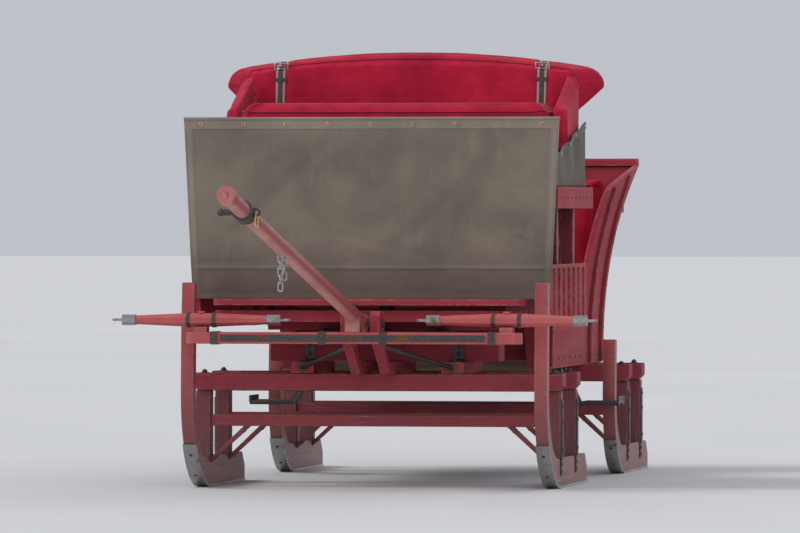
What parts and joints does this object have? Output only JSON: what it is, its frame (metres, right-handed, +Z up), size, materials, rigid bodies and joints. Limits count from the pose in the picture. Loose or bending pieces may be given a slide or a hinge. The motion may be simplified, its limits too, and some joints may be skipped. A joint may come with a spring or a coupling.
{
  "type": "horse drawn sleigh",
  "caption": "Two-bob passenger sleigh with a raised driver's bench behind a grey apron, a low tub, a steered front bob and a pole with swingletrees.",
  "frame": {"origin": "on the ground, under the middle of the sleigh and its pole", "axes": "+Y towards the tail, so the pole points along -Y; +X to the sleigh's left; +Z up"},
  "size_m": [1.9058, 5.77, 1.7458],
  "materials": {
    "red_paint": "satin, worn paint on timber",
    "red_fabric": "matt woven upholstery",
    "tarp_grey": "coated tarpaulin, slight sheen",
    "runner_steel": "polished by snow below, rusty above",
    "dark_iron": "forged, dark",
    "deck_wood": "weathered boards",
    "brass": "dull",
    "strap_black": "matt strap"
  },
  "bodies": {
    "sleigh_body": {"sills": "red_paint", "cross_beams": "red_paint", "turntable_upper": "dark_iron", "kingpin": "dark_iron", "front_floor": "deck_wood", "front_ledge": "red_paint", "lower_panels": "red_paint", "dash_posts": "red_paint", "dash_rails": "red_paint", "front_apron": "tarp_grey", "apron_sides": "tarp_grey", "driver_deck": "red_paint", "deck_posts": "red_paint", "driver_seat_box": "red_paint", "driver_seat_cushion": "red_fabric", "driver_backrest": "red_fabric", "driver_arms": "red_fabric", "backrest_straps": "strap_black", "backrest_irons": "dark_iron", "tub_sides": "red_paint", "tub_front_panel": "red_paint", "tub_rear_panel": "red_paint", "tub_rear_rail": "red_paint", "footwell": "deck_wood", "bench_floors": "deck_wood", "bench_boxes": "red_paint", "bench_cushion_front": "red_fabric", "bench_cushion_rear": "red_fabric", "bench_back_front": "red_fabric", "bench_back_rear": "red_fabric", "steps": "dark_iron", "rear_runners": "red_paint", "rear_shoes": "runner_steel", "rear_posts": "red_paint", "rear_top_beams": "red_paint", "rear_lower_bars": "red_paint"},
    "front_bob": {"front_runners": "red_paint", "front_shoes": "runner_steel", "front_posts": "red_paint", "front_top_beams": "red_paint", "front_lower_bars": "red_paint", "front_sleepers": "red_paint", "front_bolster": "red_paint", "turntable_lower": "dark_iron", "futchells": "red_paint", "futchell_stays": "dark_iron", "pole_pin": "dark_iron"},
    "pole": {"pole_shaft": "red_paint", "pole_cap": "red_paint", "pole_irons": "dark_iron", "pole_ring": "brass", "pole_chains": "runner_steel", "evener_bolt": "dark_iron"},
    "evener": {"evener_bar": "red_paint"},
    "swingletree_left": {"swingletree_left": "red_paint", "swingletree_irons_left": "runner_steel"},
    "swingletree_right": {"swingletree_right": "red_paint", "swingletree_irons_right": "runner_steel"}
  },
  "joints": [
    {"name": "steering", "type": "hinge", "parent": "sleigh_body", "child": "front_bob", "pos_m": [0, 0.545, 0.6], "axis": [0, 0, 1], "range_deg": [-30, 30]},
    {"name": "pole_lift", "type": "hinge", "parent": "front_bob", "child": "pole", "pos_m": [0, -0.035, 0.65], "axis": [-1, 0, 0], "range_deg": [-21, 15]},
    {"name": "evener_swing", "type": "hinge", "parent": "pole", "child": "evener", "pos_m": [0, -0.235, 0.6], "axis": [0, 0, 1], "range_deg": [-9, 9]},
    {"name": "swingletree_left_swing", "type": "hinge", "parent": "evener", "child": "swingletree_left", "pos_m": [0.6, -0.235, 0.667], "axis": [0, 0, 1], "range_deg": [-22, 22]},
    {"name": "swingletree_right_swing", "type": "hinge", "parent": "evener", "child": "swingletree_right", "pos_m": [-0.6, -0.235, 0.667], "axis": [0, 0, 1], "range_deg": [-22, 22]}
  ]
}
